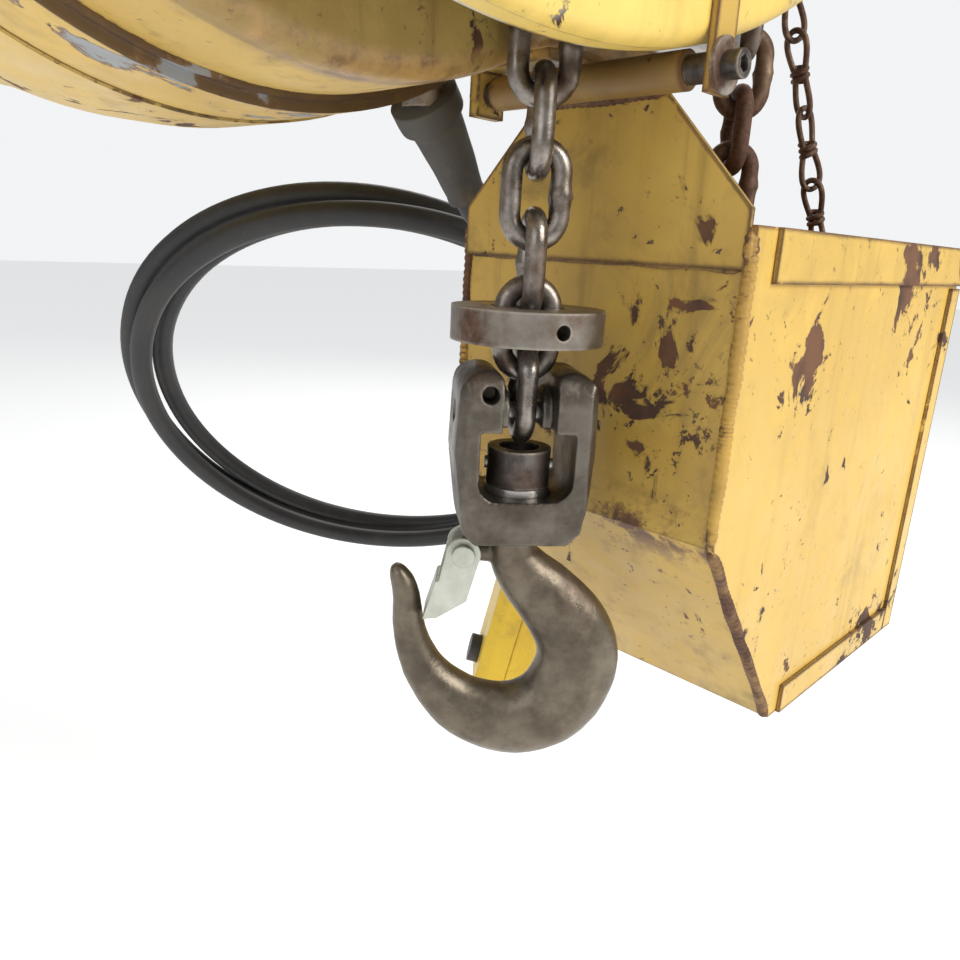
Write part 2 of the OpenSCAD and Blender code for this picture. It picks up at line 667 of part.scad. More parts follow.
// round nut and its cross pin, seat at the origin
module round_nut(h) difference() {
  cylinder(h = h, r = 12.5);
  translate([0, 0, -1]) cylinder(h = h + 2, r = 8);
}
module rivet_body() translate([latch_x, 9.6, latch_z]) rotate([90, 0, 0]) {
  cylinder(h = 19.2, r = 2.45, $fn = 48);
  for (z = [-1.5, 18.9]) translate([0, 0, z]) cylinder(h = 1.8, r = 4.5, $fn = 48);
}
// stamped latch: two cheeks on the rivet and a blade reaching inside the tip
module latch_body() difference() {
  union() {
    for (y = [-8.6, 7.1]) translate([0, y, 0]) rotate([90, 0, 0]) mirror([0, 0, 1])
      linear_extrude(1.5) {
        translate([latch_x, latch_z]) circle(7);
        polygon([[latch_x - 7, latch_z], [latch_x + 7, latch_z], [latch_x + 2, latch_z - 20],
          [-30, -36], [-35.5, -36.5], [latch_x - 9.5, latch_z - 12]]);
      }
    translate([0, 8.6, 0]) rotate([90, 0, 0]) linear_extrude(17.2)
      polygon([[-29.4, latch_z - 11.6], [-30.8, latch_z - 12.2], [-35.5, -36.5],
        [-34, -36.9]]);
  }
  translate([latch_x, 20, latch_z]) rotate([90, 0, 0]) cylinder(h = 40, r = 2.5);
}
module spring_body() for (y = [-6.3, 6.3]) translate([latch_x, y, latch_z])
  rotate([90, 0, 0]) rotate_extrude($fn = 40) translate([3.6, 0]) circle(0.6, $fn = 16);

module load_hook_place() { translate([0, 0, block_bot]) rotate([0, 0, hook_yaw]) children(); }
module top_hook_place() {
  translate([0, 0, 397.5]) rotate([0, 0, 90]) rotate([180, 0, 0]) children();
}
module load_hook() color(bronze) load_hook_place() difference() {
  hook_forging();
  translate([-20, 0, 29]) rotate([0, 90, 0]) cylinder(h = 40, r = 2.5);
}
module hook_nut() color(dark) load_hook_place() difference() {
  translate([0, 0, 21.1]) round_nut(14.9);
  translate([-20, 0, 29]) rotate([0, 90, 0]) cylinder(h = 40, r = 2.5);
}
module nut_pin() color(steel) load_hook_place() translate([-13.5, 0, 29]) rotate([0, 90, 0])
  cylinder(h = 27, r = 2.5, $fn = 48);
module latch_rivet() color(zinc) load_hook_place() rivet_body();
module hook_latch() color(zinc) load_hook_place() latch_body();
module latch_spring() color(steel) load_hook_place() spring_body();
module top_hook() color(bronze) top_hook_place() hook_forging_short();
module hook_forging_short() difference() {
  union() {
    forging(hook_path);
    cylinder(h = 13.6, r = shank_r);
    cylinder(h = 23.3, r = 8);
    translate([latch_x, 5, latch_z]) rotate([90, 0, 0]) cylinder(h = 10, r = 5.5);
    translate([latch_x, -5, latch_z - 4]) cube([14, 10, 8]);
  }
  translate([latch_x, 20, latch_z]) rotate([90, 0, 0]) cylinder(h = 40, r = 2.5);
}
module top_nut() color(dark) top_hook_place() translate([0, 0, 13.6]) round_nut(9.8);
module top_latch_rivet() color(zinc) top_hook_place() rivet_body();
module top_latch() color(zinc) top_hook_place() latch_body();
module top_latch_spring() color(steel) top_hook_place() spring_body();

hang() gear_frame();
hang() gear_plate();
hang() motor_housing();
hang() motor_end_bell();
hang() chain_housing();
hang() chain_cover();
hang() cover_screws();
hang() suspension_yoke();
hang() frame_bolts();
hang() hanger_strap();
hang() hanger_bracket();
hang() hinge_bolt();
hang() hinge_washers();
hang() hinge_spacers();
hang() stator();
hang() shaft_bearings();
hang() chain_guide();
hang() wheel_chain();
hang() strain_boot();
hang() gland_nut();
hang() pendant_cable();
hang() cable_coil();
hang() pendant_front();
hang() pendant_rear();
hang() container_wrap();
hang() hanger_plate();
hang() container_side_right();
hang() container_side_left();
hang() container_flanges();
hang() hinge_tube();
hang() stay_bar();
hang() stay_link();
hang() chain_pile();
hang() stay_chain();
hang() load_wheel();
hang() wheel_shaft();
hang() main_gear();
hang() mid_gear();
hang() rotor();
hang() cooling_fan();
hang() brake_disc();
hang() load_chain();
hang() stop_disc();
hang() hook_block();
hang() chain_pin();
hang() thrust_bearing();
hang() slack_chain();
hang() load_hook();
hang() hook_nut();
hang() nut_pin();
hang() latch_rivet();
hang() hook_latch();
hang() latch_spring();
hang() top_hook();
hang() top_nut();
hang() top_latch_rivet();
hang() top_latch();
hang() top_latch_spring();
hang() up_button();
hang() down_button();
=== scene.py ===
"""Electric chain hoist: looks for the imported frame, in metres. mm() takes millimetre coordinates
measured from the load chain's reference level, as the CAD source does."""
import bpy
import math
import random
from mathutils import Matrix, Vector, noise


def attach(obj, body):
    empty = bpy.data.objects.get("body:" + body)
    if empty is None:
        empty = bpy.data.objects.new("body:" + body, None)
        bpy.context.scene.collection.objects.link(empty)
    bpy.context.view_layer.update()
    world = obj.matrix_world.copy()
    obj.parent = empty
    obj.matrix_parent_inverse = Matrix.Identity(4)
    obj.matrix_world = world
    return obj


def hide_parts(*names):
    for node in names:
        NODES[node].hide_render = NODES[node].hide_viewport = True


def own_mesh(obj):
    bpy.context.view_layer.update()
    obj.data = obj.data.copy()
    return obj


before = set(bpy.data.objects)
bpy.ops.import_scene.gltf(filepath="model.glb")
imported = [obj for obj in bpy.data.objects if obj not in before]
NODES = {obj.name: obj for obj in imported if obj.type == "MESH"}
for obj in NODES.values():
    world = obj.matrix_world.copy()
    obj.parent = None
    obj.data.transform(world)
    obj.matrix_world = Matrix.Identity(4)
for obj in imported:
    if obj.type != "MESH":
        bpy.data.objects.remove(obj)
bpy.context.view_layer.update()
SADDLE = 467.2
WHEEL_R = 9 * 48 / (2 * math.pi)


def mm(x, y, z):
    return Vector((x, y, z - SADDLE)) / 1000


def vec(p):
    return Vector(p)


# ---------------------------------------------------------------- camera, floor, light
def camera():
    cam = bpy.data.cameras.new("view")
    cam.lens = 29.98
    cam.sensor_width = 36
    cam.clip_start, cam.clip_end = 0.01, 60
    obj = bpy.data.objects.new("view", cam)
    right = Vector((0.70530981, 0.70715564, 0.04968869))
    down = Vector((0.23180269, -0.16382216, -0.95886903))
    ahead = Vector((-0.66992954, 0.68781771, -0.27946595))
    m = Matrix((right, -down, -ahead)).transposed().to_4x4()
    m.translation = (0.2033027, -0.2298961, -0.4879280)
    obj.matrix_world = m
    bpy.context.collection.objects.link(obj)
    bpy.context.scene.camera = obj


def area(name, where, aim, size, power, colour):
    data = bpy.data.lights.new(name, "AREA")
    data.shape = "RECTANGLE"
    data.size, data.size_y = size
    data.energy = power
    data.color = colour
    obj = bpy.data.objects.new(name, data)
    obj.location = where
    obj.rotation_euler = (Vector(aim) - Vector(where)).to_track_quat("-Z", "Y").to_euler()
    bpy.context.collection.objects.link(obj)


def studio():
    centre = (0, 0.05, -0.5)
    area("key", (2.2, 0.6, 0.75), centre, (1.5, 1.5), 58, (1.0, 0.98, 0.95))
    area("fill", (0.4, -2.6, 0.5), centre, (2.4, 1.8), 20, (0.95, 0.97, 1.0))
    area("back", (-1.6, 2.0, 1.1), centre, (2.0, 1.2), 26, (1.0, 0.98, 0.95))
    world = bpy.data.worlds.new("studio")
    bpy.context.scene.world = world
    world.use_nodes = True
    back = world.node_tree.nodes["Background"]
    back.inputs["Color"].default_value = (0.93, 0.94, 0.95, 1)
    back.inputs["Strength"].default_value = 0.5
    seen = world.node_tree.nodes.new("ShaderNodeLightPath")
    level = world.node_tree.nodes.new("ShaderNodeMapRange")
    level.inputs["To Min"].default_value = 0.42
    level.inputs["To Max"].default_value = 0.96
    world.node_tree.links.new(seen.outputs["Is Camera Ray"], level.inputs["Value"])
    world.node_tree.links.new(level.outputs[0], back.inputs["Strength"])
    bpy.context.scene.view_settings.view_transform = "Standard"


# ---------------------------------------------------------------- mesh helpers
def add(name, verts, faces, mat, body, smooth=True):
    mesh = bpy.data.meshes.new(name)
    mesh.from_pydata([tuple(v) for v in verts], [], faces)
    mesh.validate()
    if smooth:
        for p in mesh.polygons:
            p.use_smooth = True
    obj = bpy.data.objects.new(name, mesh)
    bpy.context.collection.objects.link(obj)
    mesh.materials.append(mat)
    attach(obj, body)
    return obj


def sweep(path, radius, seg=16, closed=False, ref=None, shape=None):
    """Verts and faces of a tube along path; radius is a number, list or function of the index."""
    n = len(path)
    verts, faces = [], []
    up = Vector(ref) if ref else None
    for i, p in enumerate(path):
        a = path[(i - 1) % n] if closed or i else path[0]
        b = path[(i + 1) % n] if closed or i < n - 1 else path[-1]
        t = (b - a).normalized()
        if up is None:
            up = t.orthogonal()
        side = up.cross(t).normalized()
        top = t.cross(side)
        if ref is None:
            up = top
        r = radius(i) if callable(radius) else radius[i] if isinstance(radius, list) else radius
        for j in range(seg):
            c, s = math.cos(2 * math.pi * j / seg), math.sin(2 * math.pi * j / seg)
            k = shape(i, j) if shape else 1
            verts.append(p + (side * c + top * s) * r * k)
    for i in range(n if closed else n - 1):
        for j in range(seg):
            k = (j + 1) % seg
            q = (i + 1) % n
            faces.append((i * seg + j, i * seg + k, q * seg + k, q * seg + j))
    if not closed:
        faces.append(tuple(range(seg))[::-1])
        faces.append(tuple((n - 1) * seg + j for j in range(seg)))
    return verts, faces


def spline(points, step):
    """Points every step along a smooth curve through the given ones."""
    pts = [2 * points[0] - points[1]] + list(points) + [2 * points[-1] - points[-2]]
    dense = []
    for i in range(1, len(pts) - 2):
        a, b, c, d = pts[i - 1:i + 3]
        for k in range(24):
            t = k / 24
            dense.append(0.5 * (2 * b + (c - a) * t + (2 * a - 5 * b + 4 * c - d) * t * t
                                + (3 * b - a - 3 * c + d) * t ** 3))
    dense.append(pts[-2])
    total = sum((q - p).length for p, q in zip(dense, dense[1:]))
    count = max(2, round(total / step))
    out, run, goal = [dense[0]], 0.0, total / count
    for p, q in zip(dense, dense[1:]):
        d = (q - p).length
        while run + d >= goal - 1e-9 and len(out) < count:
            out.append(p.lerp(q, (goal - run) / d))
            goal += total / count
        run += d
    out.append(dense[-1])
    return out


def join(parts):
    verts, faces = [], []
    for v, f in parts:
        k = len(verts)
        verts += list(v)
        faces += [tuple(i + k for i in g) for g in f]
    return verts, faces


def rounded(name, blank, node, voxel, rounds, mat, body, rough=0.0, scale=60):
    """A solid with its edges rounded over, as a forging or moulding has them."""
    obj = bpy.data.objects.new(name + "_blank", blank)
    bpy.context.collection.objects.link(obj)
    mod = obj.modifiers.new("solid", "REMESH")
    mod.mode = "VOXEL"
    mod.voxel_size = voxel
    mod = obj.modifiers.new("soften", "SMOOTH")
    mod.factor = 0.5
    mod.iterations = rounds
    deps = bpy.context.evaluated_depsgraph_get()
    mesh = bpy.data.meshes.new_from_object(obj.evaluated_get(deps))
    bpy.data.objects.remove(obj)
    mesh.name = name
    if rough:
        moved = []
        for v in mesh.vertices:
            co = v.co.copy()
            moved.extend(co + v.normal * rough * noise.fractal(co * scale, 0.8, 2.0, 4))
        mesh.vertices.foreach_set("co", moved)
        mesh.update()
    for p in mesh.polygons:
        p.use_smooth = True
    mesh.materials.clear()
    mesh.materials.append(mat)
    out = bpy.data.objects.new(name, mesh)
    bpy.context.collection.objects.link(out)
    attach(out, body)
    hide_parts(node)
    return out


def forged(name, node, *rest):
    return rounded(name, NODES[node].data.copy(), node, *rest)


# the hook's centre line, seat at the origin: x, z, half width, half depth in millimetres
HOOK = [(0, 4, 9.4, 9.4), (0, -5, 9.6, 9.6), (1, -11, 10.4, 10), (5, -17, 11.8, 10.5),
        (11, -23, 13.4, 11), (19, -31, 15, 11.5), (26, -40, 16.4, 12), (30, -50, 17.3, 12.3),
        (30, -60, 17.7, 12.5), (27, -69, 17.9, 12.5), (22, -77, 17.8, 12.4),
        (15, -82.5, 17.4, 12.2), (6, -85.5, 16.8, 12), (-3, -85.5, 15.8, 11.6),
        (-12, -83, 14.6, 11), (-20, -79, 13.2, 10.4), (-27, -73, 11.4, 9.6), (-33, -66, 9.6, 8.8),
        (-37.5, -58, 8.2, 8), (-40.5, -49, 7.2, 7.2), (-42, -41, 6.6, 6.4), (-42.6, -33, 6, 5.8),
        (-43.6, -27, 5.4, 5.2), (-45.4, -22, 4.6, 4.6), (-47.2, -18.6, 3.4, 3.6),
        (-48.4, -16.8, 1.6, 1.8)]


def smooth_rows(rows, steps):
    out = []
    pad = [rows[0]] + rows + [rows[-1]]
    for i in range(1, len(pad) - 2):
        a, b, c, d = pad[i - 1:i + 3]
        for k in range(steps):
            t = k / steps
            out.append([0.5 * (2 * q + (r - p) * t + (2 * p - 5 * q + 4 * r - w) * t * t
                               + (3 * q - p - 3 * r + w) * t ** 3)
                        for p, q, r, w in zip(a, b, c, d)])
    out.append(list(rows[-1]))
    for _ in range(10):
        out = [out[0]] + [[(p + 2 * q + r) / 4 for p, q, r in zip(a, b, c)]
                          for a, b, c in zip(out, out[1:], out[2:])] + [out[-1]]
    return out


def peg(a, b, r, seg=40):
    return sweep([vec(a) / 1000, vec(b) / 1000], r / 1000, seg, ref=(0.3, 1, 0.2))


def hook_blank(matrix, nut_len):
    """The hook's forging with its shank and the boss that carries the latch."""
    rows = smooth_rows(HOOK, 6)
    seg, verts, faces = 44, [], []
    for i, (x, z, w, d) in enumerate(rows):
        a, b = rows[max(i - 1, 0)], rows[min(i + 1, len(rows) - 1)]
        t = Vector((b[0] - a[0], 0, b[1] - a[1])).normalized()
        for j in range(seg):
            c, q = math.cos(2 * math.pi * j / seg), math.sin(2 * math.pi * j / seg)
            verts.append(Vector((x + t.z * w * c, d * q, z - t.x * w * c)) / 1000)
    for i in range(len(rows) - 1):
        for j in range(seg):
            k = (j + 1) % seg
            faces.append((i * seg + j, (i + 1) * seg + j, (i + 1) * seg + k, i * seg + k))
    faces.append(tuple(range(seg)))
    faces.append(tuple((len(rows) - 1) * seg + j for j in reversed(range(seg))))
    parts = [(verts, faces), peg((0, 0, -2), (0, 0, nut_len), 9.5), peg((0, 0, 0),
             (0, 0, nut_len + 11), 8), peg((-20, -5, -8), (-20, 5, -8), 5.5),
             peg((-20, 0, -8), (-6, 0, -9), 4.6, 24)]
    v, f = join(parts)
    mesh = bpy.data.meshes.new("blank")
    mesh.from_pydata([tuple(matrix @ p) for p in v], [], f)
    return mesh


def hooks(M):
    place = at((0, 0, -131), ("Z", 45))
    obj = rounded("load_hook_forging", hook_blank(place, 20.9), "load_hook", 0.0007, 6,
                  M["hook"], "load_hook", 0.00018, 90)
    place = at((0, 0, 397.5), ("Z", 90), ("X", 180))
    obj = rounded("top_hook_forging", hook_blank(place, 12.5), "top_hook", 0.0008, 6,
                  M["hook"], "top_hook", 0.00018, 90)


# ---------------------------------------------------------------- materials
class Mat:
    """A small builder of procedural materials on object coordinates."""

    def __init__(self, name, rough=0.5, metal=0.0):
        self.m = bpy.data.materials.new(name)
        self.m.use_nodes = True
        self.t = self.m.node_tree
        self.t.nodes.clear()
        self.b = self.t.nodes.new("ShaderNodeBsdfPrincipled")
        out = self.t.nodes.new("ShaderNodeOutputMaterial")
        self.t.links.new(self.b.outputs[0], out.inputs[0])
        self.b.inputs["Roughness"].default_value = rough
        self.b.inputs["Metallic"].default_value = metal
        self.place = self.co = self.t.nodes.new("ShaderNodeTexCoord").outputs["Object"]
        self.normal = None

    def put(self, socket, value):
        if isinstance(value, bpy.types.NodeSocket):
            self.t.links.new(value, socket)
        elif isinstance(value, (tuple, list)) and socket.type == "RGBA":
            socket.default_value = (*value, 1)
        else:
            socket.default_value = value

    def math(self, op, a, b=0.0, clamp=False):
        n = self.t.nodes.new("ShaderNodeMath")
        n.operation, n.use_clamp = op, clamp
        self.put(n.inputs[0], a)
        self.put(n.inputs[1], b)
        return n.outputs[0]

    def stretch(self, x, y, z, rot=(0, 0, 0)):
        n = self.t.nodes.new("ShaderNodeMapping")
        self.put(n.inputs["Vector"], self.co)
        n.inputs["Scale"].default_value = (x, y, z)
        n.inputs["Rotation"].default_value = rot
        return n.outputs[0]

    def noise(self, scale, detail=4, rough=0.55, co=None, twist=0.0):
        n = self.t.nodes.new("ShaderNodeTexNoise")
        self.put(n.inputs["Vector"], co or self.co)
        n.inputs["Scale"].default_value = scale
        n.inputs["Detail"].default_value = detail
        n.inputs["Roughness"].default_value = rough
        n.inputs["Distortion"].default_value = twist
        return n.outputs["Fac"]

    def span(self, value, lo, hi, a=0.0, b=1.0):
        n = self.t.nodes.new("ShaderNodeMapRange")
        n.interpolation_type = "SMOOTHSTEP"
        self.put(n.inputs[0], value)
        for k, v in enumerate((lo, hi, a, b), 1):
            self.put(n.inputs[k], v)
        return n.outputs[0]

    def mix(self, f, a, b):
        n = self.t.nodes.new("ShaderNodeMix")
        n.data_type = "RGBA"
        self.put(n.inputs[0], f)
        self.put(n.inputs[6], a)
        self.put(n.inputs[7], b)
        return n.outputs[2]

    def blend(self, f, a, b):
        n = self.t.nodes.new("ShaderNodeMix")
        n.data_type = "FLOAT"
        self.put(n.inputs[0], f)
        self.put(n.inputs[2], a)
        self.put(n.inputs[3], b)
        return n.outputs[0]

    def edges(self, radius=0.0025, lo=0.004, hi=0.11):
        """1 on sharp outer and inner edges, 0 on faces."""
        bevel = self.t.nodes.new("ShaderNodeBevel")
        bevel.samples = 6
        bevel.inputs["Radius"].default_value = radius
        geo = self.t.nodes.new("ShaderNodeNewGeometry")
        dot = self.t.nodes.new("ShaderNodeVectorMath")
        dot.operation = "DOT_PRODUCT"
        self.t.links.new(bevel.outputs[0], dot.inputs[0])
        self.t.links.new(geo.outputs["Normal"], dot.inputs[1])
        off = self.math("SUBTRACT", 1.0, dot.outputs["Value"])
        return self.span(off, lo, hi)

    def round(self, radius=0.0012):
        bevel = self.t.nodes.new("ShaderNodeBevel")
        bevel.samples = 4
        bevel.inputs["Radius"].default_value = radius
        self.normal = bevel.outputs[0]

    def bump(self, height, depth, strength=1.0):
        n = self.t.nodes.new("ShaderNodeBump")
        n.inputs["Strength"].default_value = strength
        n.inputs["Distance"].default_value = depth
        self.put(n.inputs["Height"], height)
        if self.normal:
            self.t.links.new(self.normal, n.inputs["Normal"])
        self.normal = n.outputs[0]

    def axis(self, k):
        n = self.t.nodes.new("ShaderNodeSeparateXYZ")
        self.t.links.new(self.place, n.inputs[0])
        return n.outputs[k]

    def done(self, colour, rough=None, metal=None):
        self.put(self.b.inputs["Base Color"], colour)
        if rough is not None:
            self.put(self.b.inputs["Roughness"], rough)
        if metal is not None:
            self.put(self.b.inputs["Metallic"], metal)
        if self.normal:
            self.t.links.new(self.normal, self.b.inputs["Normal"])
        return self.m


RUST = (0.06, 0.027, 0.014)
RUST_LIGHT = (0.15, 0.062, 0.024)
PRIMER = (0.26, 0.27, 0.26)
GRIME = (0.10, 0.070, 0.035)


def painted(name, base, second, chips=0.5, wear=0.6, dirt=0.4, rough=0.42, primer=0.5,
            scratch=0.4, streak=0.3, cast=0.0, seed=0.0, rim=None, round_r=0.0015,
            prime=None, patch=0.0, freckles=0.0, zones=()):
    """Old paint on steel or iron: stains, runs, scratches, and chips that show primer and rust."""
    m = Mat(name)
    shift = m.t.nodes.new("ShaderNodeMapping")
    m.t.links.new(m.co, shift.inputs["Vector"])
    shift.inputs["Location"].default_value = (seed, seed * 0.7, -seed)
    m.co = shift.outputs[0]
    tone = m.noise(7, 5, 0.6)
    colour = m.mix(m.span(tone, 0.32, 0.68), base, second)
    fine = m.noise(55, 6, 0.65)
    colour = m.mix(m.span(fine, 0.5, 0.8, 0, 0.35), colour, tuple(c * 1.18 for c in base))
    for zone, one, two in zones:
        colour = m.mix(zone(m), colour, m.mix(m.span(tone, 0.32, 0.68), one, two))
    stain = m.span(m.noise(16, 7, 0.7, twist=0.6), 0.48, 0.74, 0, dirt)
    colour = m.mix(stain, colour, GRIME)
    runs = m.span(m.noise(1, 5, 0.6, m.stretch(60, 60, 3.5)), 0.52, 0.76, 0, streak)
    colour = m.mix(runs, colour, tuple(c * 0.5 for c in second))
    edge = m.edges(0.0035)
    # chips gather at edges and in loose clusters
    cluster = m.span(m.noise(9, 3, 0.5, twist=0.3), 0.45, 0.72)
    grain = m.noise(95, 7, 0.72, twist=0.4)
    lift = m.math("MULTIPLY", edge, 0.30 * wear)
    lift = m.math("ADD", lift, m.math("MULTIPLY", cluster, 0.13 * chips))
    field = m.math("ADD", grain, lift)
    flake = m.math("ADD", m.noise(30, 5, 0.6, twist=0.5), lift)
    chip = m.math("MAXIMUM", m.span(field, 0.675, 0.69), m.span(flake, 0.66, 0.67))
    halo = m.math("MAXIMUM", m.span(field, 0.645, 0.685), m.span(flake, 0.64, 0.668))
    # long fine scratches in two directions
    cuts = []
    for k, rot in enumerate(((0.4, 0.7, 0.2), (1.2, -0.5, 0.9), (0.1, 1.5, 0.4))):
        line = m.noise(1, 2, 0.5, m.stretch(6, 260, 260, rot))
        keep = m.span(m.noise(6 + k, 2, 0.5), 0.5, 0.6)
        cuts.append(m.math("MULTIPLY", m.span(line, 0.735, 0.755), keep))
    cut = m.math("MAXIMUM", m.math("MAXIMUM", cuts[0], cuts[1]), cuts[2])
    cut = m.math("MULTIPLY", cut, scratch)
    colour = m.mix(m.math("MULTIPLY", halo, 0.75), colour, tuple(c * 0.42 for c in second))
    under = m.mix(m.span(m.noise(40, 4), 0.4, 0.62), RUST, RUST_LIGHT)
    under = m.mix(m.span(m.noise(13, 3), 0.62 - 0.25 * primer, 0.68 - 0.25 * primer), under,
                  prime or PRIMER)
    colour = m.mix(chip, colour, under)
    colour = m.mix(cut, colour, (0.30, 0.17, 0.07))
    worn = chip
    if freckles:
        spots = m.span(m.noise(230, 4, 0.6), 0.64, 0.68)
        spots = m.math("MULTIPLY", spots, m.span(m.noise(14, 4, 0.6), 0.40, 0.56, 0, freckles))
        colour = m.mix(spots, colour, (0.085, 0.052, 0.028))
    if patch:
        # long bare patches along the shaft, primer inside a brown broken edge
        bare = m.math("ADD", m.noise(1, 6, 0.62, m.stretch(30, 13, 13), 0.4),
                       m.math("MULTIPLY", m.span(fine, 0.3, 0.7), 0.05))
        colour = m.mix(m.span(bare, 0.66 - 0.06 * patch, 0.675 - 0.06 * patch), colour,
                       (0.17, 0.095, 0.035))
        colour = m.mix(m.span(bare, 0.68 - 0.06 * patch, 0.70 - 0.06 * patch), colour,
                       (0.29, 0.30, 0.31))
    if rim:
        band = rim(m)
        band = m.math("MULTIPLY", band, m.span(m.noise(24, 6, 0.7), 0.30, 0.52))
        metal = m.mix(m.span(m.noise(70, 6, 0.7), 0.4, 0.66), (0.42, 0.25, 0.085),
                      (0.19, 0.105, 0.045))
        colour = m.mix(band, colour, metal)
    m.round(round_r)
    m.bump(m.noise(420, 3, 0.5), 0.00012, 0.35)
    if cast:
        m.bump(m.noise(210, 5, 0.7), 0.0006 * cast, 0.5)
        m.bump(m.noise(45, 4, 0.6), 0.0016 * cast, 0.3)
    m.bump(m.noise(12, 3), 0.0025, 0.12)
    m.bump(m.math("SUBTRACT", 1.0, m.math("MAXIMUM", worn, m.math("MULTIPLY", cut, 0.6))),
           0.00035, 0.6)
    shine = m.blend(m.span(fine, 0.3, 0.75), rough - 0.08, rough + 0.14)
    shine = m.blend(chip, shine, 0.72)
    shine = m.blend(m.math("MULTIPLY", stain, 0.9), shine, 0.62)
    if rim:
        shine = m.blend(band, shine, 0.3)
    return m.done(colour, shine)


def steel(name, light, dark, rust=0.3, rough=(0.28, 0.5), grain=80, pits=0.4, metal=0.9,
          seed=0.0, edge_light=None, brown=RUST):
    """Bare steel: brighter where it rubs, with rust and pits."""
    m = Mat(name)
    shift = m.t.nodes.new("ShaderNodeMapping")
    m.t.links.new(m.co, shift.inputs["Vector"])
    shift.inputs["Location"].default_value = (seed, -seed, seed * 0.4)
    m.co = shift.outputs[0]
    tone = m.noise(grain, 6, 0.62)
    colour = m.mix(m.span(tone, 0.3, 0.7), dark, light)
    big = m.noise(grain * 0.3, 5, 0.6, twist=0.5)
    patch = m.span(big, 0.62 - 0.25 * rust, 0.74 - 0.2 * rust, 0, min(1, rust * 1.6))
    rusty = m.mix(m.span(m.noise(grain * 4, 5, 0.7), 0.35, 0.65), brown,
                  tuple(c * 2.2 for c in brown))
    colour = m.mix(patch, colour, rusty)
    if edge_light:
        edge = m.math("MULTIPLY", m.edges(0.002), m.span(m.noise(grain, 4), 0.3, 0.6))
        colour = m.mix(m.math("MULTIPLY", edge, 0.8), colour, edge_light)
    m.round(0.0008)
    m.bump(m.noise(grain * 5, 4, 0.6), 0.00018, 0.35)
    m.bump(m.span(m.noise(grain * 2.2, 5, 0.7), 0.5, 0.8), 0.0005, 0.45 * pits)
    shine = m.blend(m.span(m.noise(grain * 0.8, 5), 0.3, 0.7), rough[0], rough[1])
    shine = m.blend(patch, shine, 0.7)
    shade = m.blend(patch, metal, 0.25)
    return m.done(colour, shine, shade)


def moulded(name, base, second, rough=0.45, dirt=0.4, dust=None, bump=0.3, seed=0.0, worn=0.0):
    """Rubber or plastic: faint moulding texture, grime in patches, scuffs."""
    m = Mat(name)
    shift = m.t.nodes.new("ShaderNodeMapping")
    m.t.links.new(m.co, shift.inputs["Vector"])
    shift.inputs["Location"].default_value = (seed, seed, seed)
    m.co = shift.outputs[0]
    colour = m.mix(m.span(m.noise(24, 5, 0.6), 0.35, 0.7), base, second)
    soil = m.span(m.noise(38, 7, 0.7, twist=0.7), 0.5, 0.74, 0, dirt)
    colour = m.mix(soil, colour, dust or GRIME)
    scuff = m.span(m.noise(1, 3, 0.6, m.stretch(40, 190, 300, (0.5, 0.3, 0.8))), 0.66, 0.72, 0,
                   0.35)
    colour = m.mix(scuff, colour, tuple(min(1, c * 1.6 + 0.03) for c in base))
    if worn:
        edge = m.math("MULTIPLY", m.edges(0.003), m.span(m.noise(60, 5, 0.7), 0.4, 0.6))
        colour = m.mix(m.math("MULTIPLY", edge, worn), colour, GRIME)
    m.round(0.0012)
    m.bump(m.noise(650, 2), 0.0001, bump)
    m.bump(m.noise(60, 4), 0.0004, bump)
    shine = m.blend(m.math("MAXIMUM", soil, scuff), rough, min(0.9, rough + 0.25))
    return m.done(colour, shine)


def frame_rim(m):
    """The rounded edge round the gear frame's face."""
    y = m.math("SUBTRACT", m.axis(1), -0.065)
    z = m.math("SUBTRACT", m.axis(2), (194 - SADDLE) / 1000)
    r = m.math("SQRT", m.math("ADD", m.math("MULTIPLY", y, y), m.math("MULTIPLY", z, z)))
    band = m.span(r, 0.155, 0.160)
    return m.math("MULTIPLY", band, m.span(m.axis(0), -0.036, -0.026))


def side_band(m):
    """The smooth band of the gear frame behind its rounded rim."""
    return m.span(m.axis(0), -0.027, -0.030)


def drum_groove(m):
    """The dirty joint lines at both ends of the motor housing."""
    return m.math("MAXIMUM", m.span(m.axis(0), -0.0725, -0.0708),
                  m.span(m.axis(0), -0.1095, -0.1112))


def crease_rust(m):
    """Rust along the crease between the front and the sloping plate."""
    off = m.math("ABSOLUTE", m.math("SUBTRACT", m.axis(2), (-130 - SADDLE) / 1000))
    near = m.span(off, 0.022, 0.001)
    return m.math("MULTIPLY", near, m.span(m.noise(30, 6, 0.7), 0.44, 0.54))


